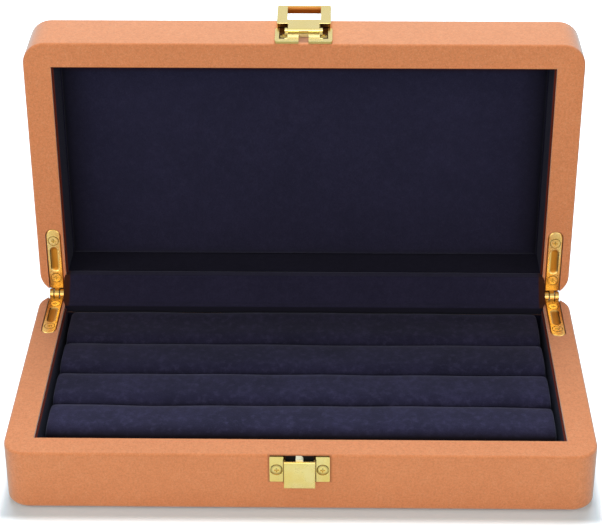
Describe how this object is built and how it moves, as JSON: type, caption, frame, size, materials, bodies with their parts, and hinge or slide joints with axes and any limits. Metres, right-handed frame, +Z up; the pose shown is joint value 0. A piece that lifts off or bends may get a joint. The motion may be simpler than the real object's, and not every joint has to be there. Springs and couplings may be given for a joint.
{
  "type": "jewelry presentation box",
  "caption": "Shallow hinged box for rings, wrapped in orange-tan suede cloth, with navy ring rolls, stop hinges in its side rims and a gold swing clasp.",
  "frame": {"origin": "centre of the underside, on the surface that the box stands on", "axes": "+X along the length to the right, +Y from the clasp side to the hinge side, +Z up"},
  "size_m": [0.22, 0.1489, 0.1423],
  "materials": {
    "suede_tan": "fine-napped suede cloth",
    "suede_navy": "fine-napped suede cloth",
    "gold_metal": "polished gold plate",
    "shell_board": "plain fibreboard"
  },
  "bodies": {
    "base": {"base_front_board": "shell_board", "base_rear_board": "shell_board", "base_left_board": "shell_board", "base_right_board": "shell_board", "base_floor_board": "shell_board", "base_suede": "suede_tan", "underside_panel": "suede_tan", "base_wall_lining": "suede_navy", "roll_tray": "suede_navy", "ring_roll_1": "suede_navy", "ring_roll_2": "suede_navy", "ring_roll_3": "suede_navy", "ring_roll_4": "suede_navy", "rear_flap": "suede_navy", "right_hinge_base_leaf": "gold_metal", "left_hinge_base_leaf": "gold_metal", "right_hinge_pin": "gold_metal", "left_hinge_pin": "gold_metal", "base_hinge_screws": "gold_metal", "catch_plate": "gold_metal", "catch_screws": "gold_metal"},
    "lid": {"lid_front_board": "shell_board", "lid_rear_board": "shell_board", "lid_left_board": "shell_board", "lid_right_board": "shell_board", "lid_top_board": "shell_board", "lid_suede": "suede_tan", "lid_wall_lining": "suede_navy", "lid_pad_card": "suede_navy", "lid_pad": "suede_navy", "right_hinge_lid_leaf": "gold_metal", "left_hinge_lid_leaf": "gold_metal", "lid_hinge_screws": "gold_metal", "clasp_plate": "gold_metal", "clasp_screws": "gold_metal", "clasp_pin": "gold_metal"},
    "clasp_lever": {"clasp_lever": "gold_metal"}
  },
  "joints": [
    {"name": "lid_hinge", "type": "hinge", "parent": "base", "child": "lid", "pos_m": [0, 0.05675, 0.0256], "axis": [1, 0, 0], "range_deg": [0, 90], "deforming": ["rear_flap"]},
    {"name": "clasp_lever_pivot", "type": "hinge", "parent": "lid", "child": "clasp_lever", "pos_m": [0, 0.06555, 0.1413], "axis": [1, 0, 0], "range_deg": [0, 180]}
  ]
}
